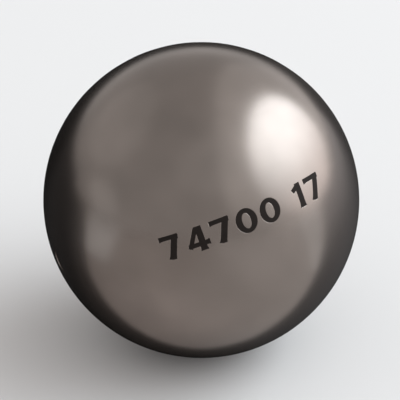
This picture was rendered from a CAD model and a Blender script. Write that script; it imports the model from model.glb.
# %% [markdown]
# # A petanque boule in satin steel
#
# The boule is a hollow steel ball, 74 mm across. It is made of two half-shells that are pressed, turned,
# set rim to rim and joined by a weld, which is then turned away until nothing of it stands proud. This
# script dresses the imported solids: it gives the steel a skin fine enough for smooth reflections, engraves a
# row of figures in it, gives every surface its finish, and photographs the ball on a pale table.
#
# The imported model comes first, because every size and place is taken from it. Everything is in metres, with
# the ball's centre at the origin and the weld in the XY plane.

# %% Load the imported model
import math

import bmesh
import bpy
import numpy as np
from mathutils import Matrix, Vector


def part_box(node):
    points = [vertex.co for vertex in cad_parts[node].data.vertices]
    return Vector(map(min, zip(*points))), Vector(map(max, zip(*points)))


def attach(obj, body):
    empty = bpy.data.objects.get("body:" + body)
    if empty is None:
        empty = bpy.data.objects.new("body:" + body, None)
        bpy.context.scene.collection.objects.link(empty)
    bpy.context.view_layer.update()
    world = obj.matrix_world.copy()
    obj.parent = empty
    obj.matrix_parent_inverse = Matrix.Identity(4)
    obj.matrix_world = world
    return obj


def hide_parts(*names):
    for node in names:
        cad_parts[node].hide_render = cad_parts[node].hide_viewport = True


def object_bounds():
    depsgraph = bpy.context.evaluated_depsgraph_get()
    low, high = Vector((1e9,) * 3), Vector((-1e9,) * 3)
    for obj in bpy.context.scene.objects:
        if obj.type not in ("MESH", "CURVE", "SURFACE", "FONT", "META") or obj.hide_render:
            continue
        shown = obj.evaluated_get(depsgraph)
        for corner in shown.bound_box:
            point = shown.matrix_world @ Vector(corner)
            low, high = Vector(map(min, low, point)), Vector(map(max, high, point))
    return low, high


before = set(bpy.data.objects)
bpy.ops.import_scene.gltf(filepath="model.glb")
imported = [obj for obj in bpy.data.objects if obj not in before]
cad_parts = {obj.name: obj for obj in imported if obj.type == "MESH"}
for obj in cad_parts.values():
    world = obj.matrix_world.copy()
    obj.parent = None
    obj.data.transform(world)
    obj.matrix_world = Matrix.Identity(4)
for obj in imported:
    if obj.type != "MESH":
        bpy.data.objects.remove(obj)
cad_low, cad_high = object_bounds()
MM = 0.001
ball_r = (cad_high.z - cad_low.z) / 2
print(f"the ball is {2 * ball_r / MM:.2f} mm across")

# %% [markdown]
# ## The sizes that the steel is built from
#
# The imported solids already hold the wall, the lip, the socket and the weld groove. Their boxes give the
# weld's edge and the lip's reach. The other sizes of the joint can't be read from a box, so they are
# repeated here from the solids' source, in millimetres.

# %% The shells and their joint
WALL = 6.15 * MM
LIP_THICKNESS = 2.2 * MM
LIP_CHAMFER = 0.4 * MM
SLIP_GAP = 0.05 * MM
ROOT_GAP = 1.2 * MM
BEVEL = math.radians(30)

weld_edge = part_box("weld_bead")[1].z
lip_reach = -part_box("upper_shell")[0].z
rim_r = math.sqrt(ball_r**2 - weld_edge**2)
cavity_r = ball_r - WALL
lip_r = cavity_r + LIP_THICKNESS
socket_r = lip_r + SLIP_GAP
print(f"the weld shows as a band {2 * weld_edge / MM:.2f} mm wide")

# %% [markdown]
# ## A sheet of points, and how sheets become a piece
#
# Each surface is a grid of points that a formula gives: rows run one way over it and columns the other. A
# piece is a few such sheets whose edges meet. They are put into one mesh, the points where they meet or
# close on themselves are merged, and the faces are then turned to point outwards. A pole is a row whose
# points all fall on one spot, which the merge closes as well. For each piece made, the volume inside it is
# printed.

# %% Grids, and pieces made of them
MERGE = 0.0005 * MM


def grid_faces(rows, columns, closed):
    """Quads between neighbouring rows and columns. A closed grid also joins its last column to its first."""
    index = np.arange(rows * columns).reshape(rows, columns)
    beside = np.roll(index, -1, axis=1)
    quads = np.stack([index[:-1], beside[:-1], beside[1:], index[1:]], axis=-1)
    return (quads if closed else quads[:, :-1]).reshape(-1, 4)


def make_piece(name, sheets):
    """One mesh object from sheets of (points, closed), with shared edges merged and faces turned outwards."""
    points, faces, count = [], [], 0
    for sheet, closed in sheets:
        points.append(sheet.reshape(-1, 3))
        faces.append(grid_faces(*sheet.shape[:2], closed) + count)
        count += len(points[-1])
    return mesh_object(name, np.concatenate(points), np.concatenate(faces))


def mesh_object(name, points, faces):
    """A mesh object from points and faces of four corners, after its doubles are merged."""
    mesh = bpy.data.meshes.new(name)
    mesh.from_pydata(points, [], faces)
    work = bmesh.new()
    work.from_mesh(mesh)
    bmesh.ops.remove_doubles(work, verts=work.verts, dist=MERGE)
    bmesh.ops.recalc_face_normals(work, faces=work.faces)
    work.to_mesh(mesh)
    work.free()
    mesh.shade_smooth()
    piece = bpy.data.objects.new(name, mesh)
    bpy.context.scene.collection.objects.link(piece)
    return piece


def told(piece):
    """What to print of a piece: its faces and its volume, which is over zero only if they point outwards."""
    work = bmesh.new()
    work.from_mesh(piece.data)
    volume = work.calc_volume(signed=True)
    work.free()
    return f"{piece.name} has {len(piece.data.polygons)} faces round {volume / MM**3:.0f} mm3"


print(f"points under {MERGE / MM} mm apart become one")

# %% [markdown]
# ## Shading a ball of several pieces
#
# Polished steel shows every kink of its surface, and flat faces can't give a ball's smooth reflections.
# More faces would only make the kinks smaller. The normal of a ball is known exactly, though: it is the
# direction from the centre. So each corner on the ball gets that normal, and reflections run over the
# pieces' edges as if the steel were one, whatever the grid is like on either side.

# %% The ball's own normals
CREASE = math.radians(30)


def numbers(items, name, width):
    """A property of many mesh elements as an array."""
    found = np.empty(len(items) * width, np.float32)
    items.foreach_get(name, found)
    return found.reshape(-1, width)


def shade_as_ball(piece):
    """Marks sharp edges. Corners on the ball get the ball's normal where their face looks outwards."""
    mesh = piece.data
    mesh.set_sharp_from_angle(angle=CREASE)
    mesh.update()
    normals = numbers(mesh.corner_normals, "vector", 3)
    corner = np.empty(len(mesh.loops), np.int32)
    mesh.loops.foreach_get("vertex_index", corner)
    sides = np.empty(len(mesh.polygons), np.int32)
    mesh.polygons.foreach_get("loop_total", sides)
    face_normals = np.repeat(numbers(mesh.polygons, "normal", 3), sides, axis=0)
    place = numbers(mesh.vertices, "co", 3)[corner]
    reach = np.linalg.norm(place, axis=1, keepdims=True)
    radial = place / np.maximum(reach, MM)
    along = (face_normals * radial).sum(axis=1, keepdims=True)
    on_ball = (np.abs(reach - ball_r) < MERGE) & (along > math.cos(CREASE))
    mesh.normals_split_custom_set(np.where(on_ball, radial, normals).tolist())


print(f"edges that turn by over {math.degrees(CREASE):.0f} degrees stay sharp")

# %% [markdown]
# ## Great circles from a middle
#
# The outside of a half-shell has something in it: the engraved row on the upper one, and a shallow stamp
# hollow on the lower one. A globe's grid would put its finest lines at the pole and not there. So the grid
# is laid out from the detail. The patch that holds it has a loop for its edge. Great circles start at the
# patch's middle, leave through that loop, and are the columns of the grid from there to the shell's rim.
# They only meet again on the far side of the ball, beyond the rim, so no two of them cross.

# %% The skin round a patch
UPPER, LOWER = 1, -1


def skin_to_rim(loop, middle, side, rows, growth):
    """The ball's skin from a loop round a patch out to the rim of the UPPER or LOWER shell, as side says.

    At angle a, a great circle is at middle cos a + ahead sin a. It meets the rim's height at the angle
    atan2(ahead_z, middle_z) + acos(height / hypot(ahead_z, middle_z)). Row s lies at the share s to the power
    growth of the way there, so that rows are close at the patch."""
    along = (loop * middle).sum(axis=-1, keepdims=True)
    ahead = loop - along * middle
    ahead /= np.linalg.norm(ahead, axis=-1, keepdims=True)
    start = np.arccos(along)
    rise, lift = side * ahead[:, 2:], side * middle[2]
    end = np.arctan2(rise, lift) + np.arccos(weld_edge / ball_r / np.hypot(rise, lift))
    share = np.linspace(0, 1, rows)[:, None, None] ** growth
    angle = start + share * (end - start)
    return ball_r * (np.cos(angle) * middle + np.sin(angle) * ahead)


def turned(profile, spokes):
    """A profile of (distance from the axis, height) carried round the axis, along the given directions."""
    profile = np.array(profile)
    round_axis = profile[:, None, :1] * spokes[None]
    height = np.broadcast_to(profile[:, None, 1:], round_axis.shape[:2] + (1,))
    return np.concatenate([round_axis, height], axis=-1)


def cavity_arc(height, side, rows):
    """The cavity's profile from a height on its wall to its pole, as a circle of the cavity's radius."""
    start = math.asin(height / cavity_r)
    angle = np.linspace(start, side * math.pi / 2, rows)
    return np.stack([cavity_r * np.cos(angle), cavity_r * np.sin(angle)], axis=-1)


print(f"the skin ends at a rim {2 * rim_r / MM:.2f} mm across")

# %% [markdown]
# ## The figures
#
# The ball carries an engraved row of figures about 6 mm high, five and then two, with stems that flare at
# their ends. They are plain numbers: 74 is the ball's diameter in millimetres, 700 its mass in grams, and
# 17 a number to tell it by.
#
# A figure is a function of a point on the row that says how far outside the figure's line the point is,
# with minus for inside. A stroke is a slab with two square ends, a bowl is an ellipse less a smaller one,
# and the least of several distances joins them. One such function later cuts the steel, and fills the cut
# with black.

# %% Strokes and bowls
CAP = 5.75 * MM
STEM = 1.6 * MM
HAIR = 1.15 * MM
FLARE = 0.25 * MM
LEAST_SLOPE = 0.01 / CAP


def stroke(x, y, start, end, width, flare_start=FLARE, flare_end=FLARE):
    """Distance from a straight stroke, whose half width grows by a flare to each end, as a power of 6."""
    run, rise = end[0] - start[0], end[1] - start[1]
    length = math.hypot(run, rise)
    along = ((x - start[0]) * run + (y - start[1]) * rise) / length
    across = ((y - start[1]) * run - (x - start[0]) * rise) / length
    tail = (2 * along / length - 1).clip(-1, 1)
    half = width / 2 + np.where(tail < 0, flare_start, flare_end) * tail**6
    return np.maximum(np.abs(across) - half, np.maximum(-along, along - length))


def ellipse(x, y, half_width, half_height):
    """Distance from an ellipse about the origin: with s the scaled radius, s (s - 1) over the slope of s."""
    scaled = np.hypot(x / half_width, y / half_height)
    slope = np.hypot(x / half_width**2, y / half_height**2)
    return scaled * (scaled - 1) / np.maximum(slope, LEAST_SLOPE)


print(f"figures are {CAP / MM:.2f} mm high, with stems {STEM / MM:.2f} mm wide")

# %% [markdown]
# Each figure is as wide as the row asks. The pen is a broad one: strokes that run up and down are thick,
# and those that run across are thin. The shares of a figure's width and height at which its strokes meet
# are its drawing.

# %% Four figures


def seven(x, y, width):
    """A bar along the cap line, and a stem that leans back from its right end to the foot."""
    head, foot, bar_y = (width - STEM * 0.6, CAP), (width * 0.36, 0), CAP - HAIR / 2
    bar = stroke(x, y, (0, bar_y), (width - STEM / 4, bar_y), HAIR)
    stem = stroke(x, y, head, foot, STEM, 0, FLARE)
    return np.minimum(bar, stem)


def four(x, y, width):
    """A stem, a thin slope from its head down to the left, and a bar across the stem."""
    stem_x, bar_y = width * 0.67, CAP * 0.29
    stem = stroke(x, y, (stem_x, 0), (stem_x, CAP), STEM, FLARE, 0)
    slope = stroke(x, y, (HAIR / 2, bar_y - HAIR / 2), (stem_x - STEM / 4, CAP), HAIR, 0, 0)
    bar = stroke(x, y, (HAIR / 4, bar_y), (width, bar_y), HAIR, 0, FLARE)
    return np.minimum(stem, np.minimum(slope, bar))


def zero(x, y, width):
    """A bowl: stems at its sides are thick and its top and foot thin."""
    x, y = x - width / 2, y - CAP / 2
    outside = ellipse(x, y, width / 2, CAP / 2)
    inside = ellipse(x, y, width / 2 - STEM, CAP / 2 - HAIR)
    return np.maximum(outside, -inside)


def one(x, y, width):
    """A stem, and a short flag that falls from its head to the left."""
    stem_x, flag_tip = width - STEM / 2 - FLARE, (0, CAP - HAIR * 1.35)
    stem = stroke(x, y, (stem_x, 0), (stem_x, CAP), STEM, FLARE, 0)
    flag = stroke(x, y, flag_tip, (stem_x, CAP - HAIR / 2), HAIR, 0, 0)
    return np.minimum(stem, flag)


print("figures drawn:", *[figure.__name__ for figure in (seven, four, zero, one)])

# %% [markdown]
# ## The row
#
# The row lists each figure with its width and the gap after it. Five figures stand close, and two follow
# after a wide gap.

# %% The row of figures
ROW = [
    (seven, 5.0 * MM, 0.7 * MM), (four, 5.4 * MM, 0.7 * MM), (seven, 5.0 * MM, 0.7 * MM),
    (zero, 5.1 * MM, 0.8 * MM), (zero, 5.1 * MM, 4.2 * MM), (one, 2.9 * MM, 0.8 * MM), (seven, 5.2 * MM, 0),
]
row_length = sum(width + gap for _, width, gap in ROW)


def row_distance(x, y):
    """Distance from the nearest figure of the row, which is centred on the origin and cut at foot and cap."""
    x, y = x + row_length / 2, y + CAP / 2
    nearest, left = np.full(np.broadcast(x, y).shape, CAP), 0.0
    for figure, width, gap in ROW:
        nearest = np.minimum(nearest, figure(x - left, y, width))
        left += width + gap
    return np.maximum(nearest, np.maximum(-y, y - CAP))


print(f"the row is {row_length / MM:.1f} mm long")

# %% [markdown]
# ## Where the row lies
#
# The row follows a great circle of the ball, as a stamp rolled straight over it would. It climbs to the
# right. Its middle has a longitude, counted from the front, and a latitude above the weld. Arc lengths
# along the circle and across it then give a place on the ball.

# %% The row's own axes
ROW_LONGITUDE = math.radians(18.05)
ROW_LATITUDE = math.radians(22.1)
ROW_CLIMB = math.radians(13.5)


def from_front(longitude, latitude):
    """The direction at a longitude, counted from the front towards the right, and a latitude."""
    return np.array([
        math.sin(longitude) * math.cos(latitude),
        -math.cos(longitude) * math.cos(latitude),
        math.sin(latitude),
    ])


row_out = from_front(ROW_LONGITUDE, ROW_LATITUDE)
east = np.array([math.cos(ROW_LONGITUDE), math.sin(ROW_LONGITUDE), 0])
north = np.cross(row_out, east)
row_along = east * math.cos(ROW_CLIMB) + north * math.sin(ROW_CLIMB)
row_up = np.cross(row_out, row_along)


def on_row(x, y):
    """The direction at arc x along the row and arc y off it, with the row as a globe's equator."""
    x, y = np.broadcast_arrays(x / ball_r, y / ball_r)
    circle = np.cos(x)[..., None] * row_out + np.sin(x)[..., None] * row_along
    return np.cos(y)[..., None] * circle + np.sin(y)[..., None] * row_up


print("the row's middle, mm from the ball's:", *(row_out * ball_r / MM).round(1))

# %% [markdown]
# ## The upper half-shell
#
# A fine patch of 0.1 mm squares covers the row. Over it, the steel's radius is the ball's less the depth of
# the cut, and the depth grows smoothly from the figure's line inwards, so that the cut has sloping walls
# that catch the light. A bump in the finish would look much the same from the front, but only a real cut
# stays in the mesh and can be filled.

# %% Engraved patch
PITCH = 0.1 * MM
PATCH_MARGIN = 0.5 * MM
CUT_DEPTH = 0.25 * MM
CUT_SLOPE = 0.3 * MM


def sunk(distance, depth, slope):
    """Depth at a distance inside an outline: a smooth step from 0 to the depth, over the slope's width."""
    share = (distance / slope).clip(0, 1)
    return depth * share * share * (3 - 2 * share)


def steps(half_length):
    """Evenly spaced places from -half_length to half_length, about PITCH apart."""
    return np.linspace(-half_length, half_length, 2 * round(half_length / PITCH) + 1)


row_x = steps(row_length / 2 + PATCH_MARGIN)[None, :]
row_y = steps(CAP / 2 + PATCH_MARGIN)[:, None]
row_gap = row_distance(row_x, row_y)
patch_out = on_row(row_x, row_y)
patch = (ball_r - sunk(-row_gap, CUT_DEPTH, CUT_SLOPE))[..., None] * patch_out
print(f"the patch has {patch.shape[0]} rows of {patch.shape[1]} points")

# %% [markdown]
# Around the patch the skin runs out to the rim on great circles. Inside, the bevelled rim, the lip and the
# cavity are one profile, turned on the same columns, so that the piece closes on itself.

# %% Upper half
patch_sides = [patch_out[0, :-1], patch_out[:-1, -1], patch_out[-1, :0:-1], patch_out[:0:-1, 0]]
upper_skin = skin_to_rim(np.concatenate(patch_sides), row_out, UPPER, rows=44, growth=1.4)
upper_spokes = upper_skin[-1, :, :2] / rim_r
upper_profile = np.concatenate([
    [(rim_r, weld_edge), (lip_r, ROOT_GAP / 2), (lip_r, LIP_CHAMFER - lip_reach)],
    [(lip_r - LIP_CHAMFER, -lip_reach)],
    cavity_arc(-lip_reach, UPPER, rows=16),
])
upper_half = make_piece("upper_half", [
    (patch, False), (upper_skin, True), (turned(upper_profile, upper_spokes), True),
])
shade_as_ball(upper_half)
print(told(upper_half))

# %% [markdown]
# ## The black in the figures
#
# The cuts are dark: their floors are filled with black. The fill is a piece of its own, as a drop of enamel
# would be. Its top lies a little below the steel's surface. It is made of all the patch's squares that the
# figures touch, so its stepped sides are hidden in the steel, and the line that is seen is where its top
# meets the sloping wall.

# %% Figure fill
FILL_BELOW = 0.035 * MM
FILL_FOOT = 0.32 * MM
inside = row_gap < 0
touched = inside[:-1, :-1] | inside[:-1, 1:] | inside[1:, :-1] | inside[1:, 1:]


def fill_faces(squares):
    """Tops, floors and side walls of a grid's marked squares, with floor points numbered after the tops."""
    under = (squares.shape[0] + 1) * (squares.shape[1] + 1)
    index = np.arange(under).reshape(squares.shape[0] + 1, -1)
    low, high = index[:-1], index[1:]
    tops = np.stack([low[:, :-1], low[:, 1:], high[:, 1:], high[:, :-1]], axis=-1)[squares]
    framed = np.pad(squares, 1)
    walls = []
    for a, b, outside in (
        (low[:, :-1], low[:, 1:], framed[:-2, 1:-1]), (low[:, 1:], high[:, 1:], framed[1:-1, 2:]),
        (high[:, 1:], high[:, :-1], framed[2:, 1:-1]), (high[:, :-1], low[:, :-1], framed[1:-1, :-2]),
    ):
        bare = squares & ~outside
        walls.append(np.stack([b[bare], a[bare], a[bare] + under, b[bare] + under], axis=-1))
    return np.concatenate([tops, tops[:, ::-1] + under, *walls])


fill_points = np.concatenate([
    (patch_out * (ball_r - FILL_BELOW)).reshape(-1, 3), (patch_out * (ball_r - FILL_FOOT)).reshape(-1, 3),
])
used, fill_quads = np.unique(fill_faces(touched), return_inverse=True)
figure_fill = mesh_object("figure_fill", fill_points[used], fill_quads.reshape(-1, 4))
figure_fill.data.set_sharp_from_angle(angle=CREASE)
print(told(figure_fill))

# %% [markdown]
# ## The lower half-shell
#
# Just below the weld, on the left, the ball has a shallow bare hollow, the print of a round punch. It only
# shows as a faint streak, where its far wall turns to the light. A hollow is round, so its grid is rings
# about its own middle: a flat floor, and a wall that rises to the hollow's line, where the rings are close.

# %% Stamp hollow
STAMP_R = 3.2 * MM
STAMP_DEPTH = 0.2 * MM
STAMP_WALL = 0.42 * MM
STAMP_MARGIN = 0.5 * MM
STAMP_TURN = math.radians(-63)
STAMP_COLUMNS, WALL_RINGS, FLOOR_RINGS = 600, 12, 10
stamp_below = math.asin((weld_edge + STAMP_MARGIN + STAMP_R) / ball_r)
stamp_out = from_front(STAMP_TURN, -stamp_below)
stamp_east = np.array([math.cos(STAMP_TURN), math.sin(STAMP_TURN), 0])
stamp_north = np.cross(stamp_out, stamp_east)
rim_plane = math.sqrt(ball_r**2 - STAMP_R**2)

stamp_turns = np.linspace(0, 2 * math.pi, STAMP_COLUMNS, endpoint=False)[:, None]
stamp_spokes = np.cos(stamp_turns) * stamp_east + np.sin(stamp_turns) * stamp_north
wall_rings = np.linspace(0, STAMP_WALL, WALL_RINGS, endpoint=False)
floor_rings = np.linspace(STAMP_WALL, STAMP_R, FLOOR_RINGS)
inwards = np.append(wall_rings, floor_rings)[::-1, None, None]
ring_height = rim_plane - sunk(inwards, STAMP_DEPTH, STAMP_WALL)
punch_print = ring_height * stamp_out + (STAMP_R - inwards) * stamp_spokes
stamp_edge = (rim_plane * stamp_out + STAMP_R * stamp_spokes) / ball_r
print(f"the hollow is {2 * STAMP_R / MM:.1f} mm across and {STAMP_DEPTH / MM:.1f} mm deep")

# %% [markdown]
# The ball's skin runs from the hollow's line out to the rim, again on great circles. Inside, the bevel, the
# socket that takes the other half's lip and the cavity are one profile.

# %% Lower half
lower_skin = skin_to_rim(stamp_edge, stamp_out, LOWER, rows=64, growth=1.5)
lower_spokes = lower_skin[-1, :, :2] / rim_r
bevel_foot = -ROOT_GAP / 2 - (socket_r - lip_r) * math.tan(BEVEL)
lower_profile = np.concatenate([
    [(rim_r, -weld_edge), (socket_r, bevel_foot), (socket_r, -lip_reach)],
    cavity_arc(-lip_reach, LOWER, rows=24),
])
lower_half = make_piece("lower_half", [
    (punch_print, True), (lower_skin, True), (turned(lower_profile, lower_spokes), True),
])
shade_as_ball(lower_half)
print(told(lower_half))

# %% [markdown]
# ## The weld
#
# The weld fills the V between the two bevelled rims and is turned flush, so from outside it is a narrow
# band of the ball. Its section is closed on itself: the root, the two slopes and an arc of the ball.

# %% Weld ring
WELD_COLUMNS, BAND_ROWS = 720, 13
weld_turns = np.linspace(0, 2 * math.pi, WELD_COLUMNS, endpoint=False)[:, None]
weld_spokes = np.concatenate([np.cos(weld_turns), np.sin(weld_turns)], axis=-1)
half_band = math.asin(weld_edge / ball_r)
band = np.linspace(-half_band, half_band, BAND_ROWS)[:, None]
weld_profile = np.concatenate([
    [(lip_r, ROOT_GAP / 2), (lip_r, -ROOT_GAP / 2)],
    ball_r * np.concatenate([np.cos(band), np.sin(band)], axis=-1),
    [(lip_r, ROOT_GAP / 2)],
])
weld_ring = make_piece("weld_ring", [(turned(weld_profile, weld_spokes), True)])
shade_as_ball(weld_ring)
print(told(weld_ring))

# %% [markdown]
# ## Which piece stands for which solid
#
# All pieces ride on the one body there is. The two halves and the weld ring take the place of the packed
# solids, and each piece names the record's finish that it wears.

# %% Ride, replace and slot
for piece, node, slot in (
    (upper_half, "upper_shell", "shell_steel"),
    (lower_half, "lower_shell", "shell_steel"),
    (weld_ring, "weld_bead", "weld_steel"),
    (figure_fill, None, "mark_black"),
):
    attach(piece, "root")
    if node:
        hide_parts(node)

# %% [markdown]
# ## Shader maths as arithmetic
#
# A pattern is worked out from a point's place by arithmetic, and in Blender each operation is a node. The
# class below wraps an output socket, so that a Python expression adds those nodes itself. With the
# reflected forms, a plain number may stand first, as in 1 - share.

# %% The Value class and the node method


class Value:
    """An output socket of a shader. Arithmetic on it adds Math nodes."""

    def __init__(self, socket):
        self.socket = socket

    def math(self, operation, *others):
        """A Math node whose first input is this value and whose next ones are the others."""
        inputs = dict(enumerate((self, *others)))
        return add_node(self.socket.id_data, "ShaderNodeMath", {"operation": operation}, inputs)

    def __add__(self, other):
        return self.math("ADD", other)

    def __sub__(self, other):
        return self.math("SUBTRACT", other)

    def __rsub__(self, other):
        return self * -1 + other

    def __mul__(self, other):
        return self.math("MULTIPLY", other)

    def __truediv__(self, other):
        return self.math("DIVIDE", other)

    __radd__ = __add__
    __rmul__ = __mul__


def add_node(tree, kind, settings=None, inputs=None, output=0):
    """Adds a node, sets its settings, then its sockets to numbers, colours or Values. Gives one output."""
    made = tree.nodes.new(kind)
    for name, setting in (settings or {}).items():
        setattr(made, name, setting)
    for key, value in (inputs or {}).items():
        if isinstance(value, Value):
            tree.links.new(value.socket, made.inputs[key])
        else:
            made.inputs[key].default_value = value
    return Value(made.outputs[output])


print("operators that add Math nodes: + - * /")

# %% [markdown]
# ## Three small helpers for finishes
#
# Every finish starts as one Principled shader. A Math node turns a colour grey, so colours are mixed by a
# Mix node. Its share is held between 0 and 1, so a tone can fade from one line to another and stay even
# beyond both.

# %% New finishes, places and mixed colours
MIX_SHARE, MIX_FIRST, MIX_SECOND, MIX_RESULT = 0, 6, 7, 2


def new_finish(name):
    """A new material with an output and a Principled shader. Gives the material, its tree and the shader."""
    material = bpy.data.materials.new(name)
    material.use_nodes = True
    tree = material.node_tree
    shader = next(n for n in tree.nodes if n.type == "BSDF_PRINCIPLED")
    return material, tree, shader


def parts_of(tree, vector):
    """The x, y and z of a vector, from one node."""
    made = add_node(tree, "ShaderNodeSeparateXYZ", None, {0: vector}).socket.node
    return [Value(part) for part in made.outputs]


def mix_colours(tree, share, first, second):
    """The colour that runs from first to second, each three numbers or a Value, as share goes from 0 to 1."""
    inputs = {MIX_SHARE: share}
    for socket, colour in ((MIX_FIRST, first), (MIX_SECOND, second)):
        inputs[socket] = colour if isinstance(colour, Value) else (*colour, 1)
    return add_node(tree, "ShaderNodeMix", {"data_type": "RGBA"}, inputs, MIX_RESULT)


print("finishes so far:", len(bpy.data.materials))

# %% [markdown]
# ## Satin steel
#
# The shells are stainless steel, turned and then rubbed with a fine cloth as they spin. That leaves a dark,
# warm grey with a soft sheen: reflections of large shapes are clear but their edges run. Close up,
# hair-fine lines run round the axis, and the tone drifts by a few per cent in patches the size of a thumb.

# %% Satin steel
STEEL_PALE = (0.303, 0.261, 0.238)
STEEL_DARK = (0.187, 0.164, 0.149)
SATIN = 0.245
DRIFT_SCALE, DRIFT_IN_SATIN = 60, 0.05
LINES_ROUND, LINES_UP, LINES_IN_SATIN = 30, 4200, 0.04
LINE_DEPTH, LINE_STRENGTH = 0.006 * MM, 0.1


def satin_steel(name):
    """Steel with drifting tone, fine turning lines round the Z axis and a roughness that follows both."""
    material, tree, shader = new_finish(name)
    place = add_node(tree, "ShaderNodeTexCoord", output="Object")
    x, y, z = parts_of(tree, place)
    from_axis = (x * x + y * y).math("SQRT")
    arc = z.math("ARCTAN2", from_axis) * ball_r
    drift = add_node(tree, "ShaderNodeTexNoise", None, {"Vector": place, "Scale": DRIFT_SCALE, "Detail": 2})
    stretched = add_node(
        tree, "ShaderNodeCombineXYZ", None, {0: x * LINES_ROUND, 1: y * LINES_ROUND, 2: arc * LINES_UP},
    )
    lines = add_node(tree, "ShaderNodeTexNoise", None, {"Vector": stretched, "Scale": 1, "Detail": 2})
    colour = mix_colours(tree, drift, STEEL_PALE, STEEL_DARK)
    tree.links.new(colour.socket, shader.inputs["Base Color"])
    rough = SATIN + (drift - 0.5) * DRIFT_IN_SATIN + (lines - 0.5) * LINES_IN_SATIN
    tree.links.new(rough.socket, shader.inputs["Roughness"])
    relief = {"Strength": LINE_STRENGTH, "Distance": LINE_DEPTH, "Height": lines}
    bump = add_node(tree, "ShaderNodeBump", None, relief)
    tree.links.new(bump.socket, shader.inputs["Normal"])
    shader.inputs["Metallic"].default_value = 1.0
    return material


shell_finish = satin_steel("shell_satin_steel")
weld_finish = satin_steel("weld_satin_steel")
for piece, finish in ((upper_half, shell_finish), (lower_half, shell_finish), (weld_ring, weld_finish)):
    piece.data.materials.append(finish)
print(f"{shell_finish.name} has {len(shell_finish.node_tree.nodes)} nodes")

# %% [markdown]
# ## Black filling
#
# The filling is a matt, slightly uneven black with a brown cast. A fine grain varies its tone and roughness
# together, so that it doesn't look like plastic.

# %% Figure black
FILL_DARK = (0.008, 0.006, 0.005)
FILL_LIGHT = (0.018, 0.013, 0.011)
FILL_ROUGH, FILL_SHINE = 0.6, 0.12
GRAIN_SCALE, GRAIN_IN_ROUGH = 900, 0.3
fill_finish, fill_tree, fill_shader = new_finish("figure_black")
fill_place = add_node(fill_tree, "ShaderNodeTexCoord", output="Object")
grain_inputs = {"Vector": fill_place, "Scale": GRAIN_SCALE, "Detail": 4}
grain = add_node(fill_tree, "ShaderNodeTexNoise", None, grain_inputs)
fill_tone = mix_colours(fill_tree, grain, FILL_DARK, FILL_LIGHT)
fill_rough = FILL_ROUGH + (grain - 0.5) * GRAIN_IN_ROUGH
fill_tree.links.new(fill_tone.socket, fill_shader.inputs["Base Color"])
fill_tree.links.new(fill_rough.socket, fill_shader.inputs["Roughness"])
fill_shader.inputs["Specular IOR Level"].default_value = FILL_SHINE
figure_fill.data.materials.append(fill_finish)
print("finishes:", *[m.name for m in bpy.data.materials if m.users])

# %% [markdown]
# ## The table and what lies on it
#
# The ball stands on a plain pale table, wide enough to fill the picture. Polished steel has no look of its
# own: it shows its surroundings. The picture's ball has a dark crescent on its left and a dark line round
# the rest of its edge, which a photographer gets with a black cloth, and lighter lines inside them, which
# white cards give. Its foot grows lighter from left to right, as over a mat of two greys. All of these are
# seen by the steel alone, so that the table stays plain in the picture and in every other view.

# %% Pale table
TABLE_PALE = (0.73, 0.722, 0.719)
TABLE_HALF = 6.0


def flat_sheets(name, points, faces, seen_by_steel_only):
    """Flat sheets that belong to the stage and not to the ball, and their finish's nodes and shader."""
    mesh = bpy.data.meshes.new(name)
    mesh.from_pydata(points, [], faces)
    sheet = bpy.data.objects.new(name, mesh)
    bpy.context.scene.collection.objects.link(sheet)
    if seen_by_steel_only:
        for ray in ("camera", "diffuse", "transmission", "volume_scatter", "shadow"):
            setattr(sheet, "visible_" + ray, False)
    finish, tree, shader = new_finish(name + "_finish")
    shader.inputs["Roughness"].default_value = 1.0
    shader.inputs["Specular IOR Level"].default_value = 0.0
    mesh.materials.append(finish)
    return tree, shader


corners = [(x * TABLE_HALF, y * TABLE_HALF, -ball_r) for x, y in ((-1, -1), (1, -1), (1, 1), (-1, 1))]
_, table_shader = flat_sheets("pale_table", corners, [(0, 1, 2, 3)], False)
table_shader.inputs["Base Color"].default_value = (*TABLE_PALE, 1)
print(f"the table is {2 * TABLE_HALF:.0f} m square and {-corners[0][2] / MM:.1f} mm below the ball's middle")

# %% [markdown]
# The mat is as large as the table, and turns from grey to pale just under the ball. The share of the pale
# tone goes from 0 to 1 as x, less a slant times y, goes from a start to an end. A pale spot on the mat,
# just left of the foot, makes up for the ball's own shadow there.

# %% Grey mat
MAT_LIFT = 0.1 * MM
MAT_GREY, MAT_PALE = (0.509, 0.475, 0.457), (0.702, 0.68, 0.667)
MAT_TURN = {"slant": -0.15, "start": -0.045, "end": 0.055}
MAT_SPOT, SPOT_PLACE, SPOT_R = (0.76, 0.71, 0.69), (-0.034, -0.032, -ball_r), 0.055


def share_across(place, slant, start, end):
    """The share that goes from 0 to 1 as x less slant y goes from start to end."""
    x, y, _ = place
    return (x - y * slant - start) / (end - start)


mat = [(x, y, z + MAT_LIFT) for x, y, z in corners]
mat_tree, mat_shader = flat_sheets("grey_mat", mat, [(0, 1, 2, 3)], True)
mat_place = add_node(mat_tree, "ShaderNodeTexCoord", output="Object")
mat_tone = mix_colours(mat_tree, share_across(parts_of(mat_tree, mat_place), **MAT_TURN), MAT_GREY, MAT_PALE)
away = add_node(mat_tree, "ShaderNodeVectorMath", {"operation": "DISTANCE"}, {0: mat_place, 1: SPOT_PLACE}, 1)
mat_tone = mix_colours(mat_tree, 1 - away / SPOT_R, mat_tone, MAT_SPOT)
mat_tree.links.new(mat_tone.socket, mat_shader.inputs["Base Color"])
print(f"the mat lies {MAT_LIFT / MM} mm over the table")

# %% [markdown]
# The cloth lies on the mat from just in front of the foot to the back, where it hangs from a rail that is
# lower towards the right. Its outline is given in metres from the ball's foot.

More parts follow.
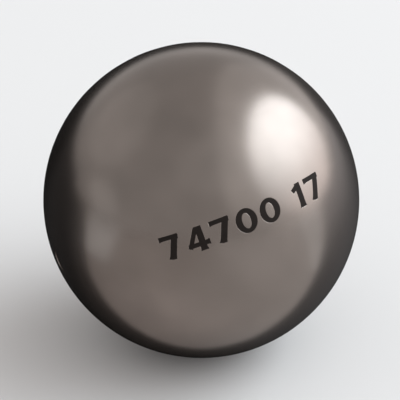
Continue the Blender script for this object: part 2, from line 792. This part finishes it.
# %% Black cloth
SHEET_LIFT = 0.3 * MM
CLOTH_FRONT = [
    (-0.85, -0.038), (-0.20, -0.035), (-0.07, -0.0242), (-0.02, -0.0256), (0.01, -0.0258), (0.04, -0.0225),
    (0.30, 0.004), (3.00, 0.10),
]
CLOTH_BACK = [(2.60, 1.20), (1.90, 2.00), (1.10, 2.40), (0, 2.35), (-0.55, 1.99), (-3.00, 0.80)]
RAIL_HEIGHTS = [0.05, 0.175, 0.215, 0.24, 0.25, 0.22]

lying = [(x, y, SHEET_LIFT - ball_r) for x, y in CLOTH_FRONT + CLOTH_BACK]
hanging = [(x, y, height - ball_r) for (x, y), height in zip(CLOTH_BACK, RAIL_HEIGHTS)]
fold, count, down = len(CLOTH_FRONT), len(lying), len(hanging)
drops = [(k + 1, k, k + down, k + down + 1) for k in range(fold, count - 1)]
cloth_tree, cloth_shader = flat_sheets("black_cloth", lying + hanging, [tuple(range(count))] + drops, True)
print(f"the cloth hangs from a rail {min(RAIL_HEIGHTS)} to {max(RAIL_HEIGHTS)} m high")

# %% [markdown]
# The cloth's black is deepest in a wedge behind the ball, worn to both sides of that, faded along the front
# hem at the left, and grey at the right. The oval of table that the ball hides from the camera is left
# pale, so that the ball's back isn't all black.

# %% The cloth's tones
CLOTH_BLACK, CLOTH_WORN = (0.011, 0.0105, 0.0105), (0.038, 0.037, 0.037)
WEDGE_LEAN, WEDGE_OPEN, WEDGE_FADE = 0.4, 0.6, 0.05
CLOTH_HEM, CLOTH_GREY = (0.085, 0.08, 0.078), (0.415, 0.41, 0.42)
HEM_TURN = {"slant": -8, "start": -0.2, "end": -0.08}
GREY_TURN = {"slant": 0.67, "start": 0.014, "end": 0.172}
HIDDEN_TONE = (0.6, 0.58, 0.57)
HIDDEN_X, HIDDEN_Y, HIDDEN_EDGE, HIDDEN_FADE = 0.034, 0.064, 1.05, 0.9

place = parts_of(cloth_tree, add_node(cloth_tree, "ShaderNodeTexCoord", output="Object"))
aside = (place[0] + place[1] * WEDGE_LEAN).math("ABSOLUTE") - place[1] * WEDGE_OPEN
cloth_tone = mix_colours(cloth_tree, aside / WEDGE_FADE, CLOTH_BLACK, CLOTH_WORN)
cloth_tone = mix_colours(cloth_tree, share_across(place, **HEM_TURN), CLOTH_HEM, cloth_tone)
cloth_tone = mix_colours(cloth_tree, share_across(place, **GREY_TURN), cloth_tone, CLOTH_GREY)
to_side, to_back = place[0] / HIDDEN_X, place[1] / HIDDEN_Y - 1
within = (HIDDEN_EDGE - to_side * to_side - to_back * to_back) / HIDDEN_FADE
cloth_tone = mix_colours(cloth_tree, within, cloth_tone, HIDDEN_TONE)
cloth_tree.links.new(cloth_tone.socket, cloth_shader.inputs["Base Color"])
print(f"{len(cloth_tree.nodes)} nodes give the cloth its tones")

# %% [markdown]
# Two white cards lie in front of the cloth, one at the left and one at the right. They give the pale edge
# inside the dark one.

# %% White cards
CARDS = {
    "card_left": [(-0.11, -0.0295), (-0.09, -0.055), (-1.66, -1.12), (-2.00, -0.25)],
    "card_right": [(0.07, -0.0195), (3.00, 0.06), (2.60, -0.95), (0.07, -0.026)],
}
CARD_WHITES = {"card_left": (0.82, 0.82, 0.82), "card_right": (0.95, 0.95, 0.95)}
for name, outline in CARDS.items():
    card = [(x, y, SHEET_LIFT - ball_r) for x, y in outline]
    _, card_shader = flat_sheets(name, card, [(0, 1, 2, 3)], True)
    card_shader.inputs["Base Color"].default_value = (*CARD_WHITES[name], 1)
print("sheets that only the steel shows: grey_mat, black_cloth,", ", ".join(CARDS))

# %% [markdown]
# ## Light
#
# The room is an even, slightly warm pale grey. It lights the ball and the table from all sides.

# %% Room light
ROOM_LEVEL = 0.605
ROOM_TINT = (1, 0.972, 0.96)
world = bpy.data.worlds.new("room")
world.use_nodes = True
background = next(n for n in world.node_tree.nodes if n.type == "BACKGROUND")
background.inputs["Color"].default_value = (*ROOM_TINT, 1)
background.inputs["Strength"].default_value = ROOM_LEVEL
bpy.context.scene.world = world
print(f"the room shows a level of {ROOM_LEVEL}")

# %% [markdown]
# The picture's broad highlight is a big soft box to the right of the ball. Its face is brightest at its far
# upper part, and fades towards the front, where it dies out, and towards its foot, which is also warmer. A
# wide faint glow lies round it, as on a wall. Four fainter boxes stand for pale things elsewhere in the
# room: one at the left, one above, and two low ones, behind and at the left.
#
# A box is placed by its bearing, counted from the front towards the right, its height angle, and half the
# angles that it spans, all in degrees. A lamp's power follows from its face's brightness and area.

# %% Soft boxes
GLOW_TINT = (0.955, 0.97, 0.98)
BOX_AWAY = 3.0
KEY_BOX = (92.8, 29.9, 38.6, 30.6, 3.87)
FAINT_BOXES = {
    "box_glow": (93.8, 38.8, 63.4, 42.2, 0.37),
    "box_left": (-112, 38, 28, 22, 0.15),
    "box_above": (28, 55, 34, 22, 0.13),
    "box_back": (172, 12.5, 55, 6, 0.22),
    "box_side": (-77, 9, 14, 8, 0.38),
}


def soft_box(name, bearing, height, half_across, half_up, level):
    """An elliptical lamp facing the ball, whose face shows the given level: power is level x area x pi."""
    lamp = bpy.data.lights.new(name, "AREA")
    lamp.shape = "ELLIPSE"
    lamp.size = 2 * BOX_AWAY * math.tan(math.radians(half_across))
    lamp.size_y = 2 * BOX_AWAY * math.tan(math.radians(half_up))
    lamp.energy = level * lamp.size * lamp.size_y * math.pi / 4 * math.pi
    lamp.color = GLOW_TINT
    holder = bpy.data.objects.new(name, lamp)
    outwards = Vector(from_front(math.radians(bearing), math.radians(height)))
    holder.location = outwards * BOX_AWAY
    holder.rotation_euler = outwards.to_track_quat("Z", "Y").to_euler()
    holder.visible_camera = False
    bpy.context.scene.collection.objects.link(holder)
    return lamp


key = soft_box("box_key", *KEY_BOX)
for name, measures in FAINT_BOXES.items():
    soft_box(name, *measures)
print("lamps:", *[lamp.name for lamp in bpy.data.lights])

# %% [markdown]
# A lamp's face has two coordinates of its own that run from 0 to 1: across it, here towards the back, and
# up it. A smooth step of each says how far a place is from the dark side and from the foot.

# %% The key box's face
TOP_TONE = (0.872, 0.96, 1.015)
FOOT_TONE = (0.408, 0.379, 0.378)
FOOT_RISE = (0.064, 0.654)
FRONT_RISE = (-0.188, 0.612)


def smooth_step(tree, value, start, end):
    """0 at start and 1 at end, with a smooth S between."""
    inputs = {"Value": value, "From Min": start, "From Max": end}
    return add_node(tree, "ShaderNodeMapRange", {"interpolation_type": "SMOOTHSTEP"}, inputs)


key.use_nodes = True
key.color = (1, 1, 1)
key_tree = key.node_tree
emission = next(n for n in key_tree.nodes if n.type == "EMISSION")
backwards, upwards, _ = parts_of(key_tree, add_node(key_tree, "ShaderNodeNewGeometry", output="Parametric"))
key_tone = mix_colours(key_tree, smooth_step(key_tree, upwards, *FOOT_RISE), FOOT_TONE, TOP_TONE)
dimmed = {0: key_tone, "Scale": smooth_step(key_tree, backwards, *FRONT_RISE)}
key_face = add_node(key_tree, "ShaderNodeVectorMath", {"operation": "SCALE"}, dimmed)
key_tree.links.new(key_face.socket, emission.inputs["Color"])
print(f"the key box is {key.size:.1f} by {key.size_y:.1f} m")

# %% [markdown]
# ## The camera
#
# The picture shows the ball 316 pixels wide in a frame of 400, with next to no offset. A long lens a little
# over half a metre away gives that size. It looks down by 30 degrees.

# %% Camera
LENS, SENSOR, FRAME_PX = 200, 36, 400
NEAREST, FURTHEST = 0.01, 20
BALL_RADIUS_PX = 158.03
BALL_MIDDLE_PX = (201.29, 200.01)
LOOK_DOWN = math.radians(30)
half_angle = math.atan(BALL_RADIUS_PX * SENSOR / (FRAME_PX * LENS))
distance = ball_r / math.sin(half_angle)
camera_data = bpy.data.cameras.new("camera")
camera_data.lens, camera_data.sensor_width = LENS, SENSOR
camera_data.shift_x = (FRAME_PX / 2 - BALL_MIDDLE_PX[0]) / FRAME_PX
camera_data.shift_y = (BALL_MIDDLE_PX[1] - FRAME_PX / 2) / FRAME_PX
camera_data.clip_start, camera_data.clip_end = NEAREST, FURTHEST
camera = bpy.data.objects.new("camera", camera_data)
camera.location = (0, -distance * math.cos(LOOK_DOWN), distance * math.sin(LOOK_DOWN))
camera.rotation_euler = (math.pi / 2 - LOOK_DOWN, 0, 0)
bpy.context.scene.collection.objects.link(camera)
bpy.context.scene.camera = camera
bpy.context.scene.view_settings.view_transform = "Standard"
print(f"the camera is {distance:.4f} m from the ball's middle")
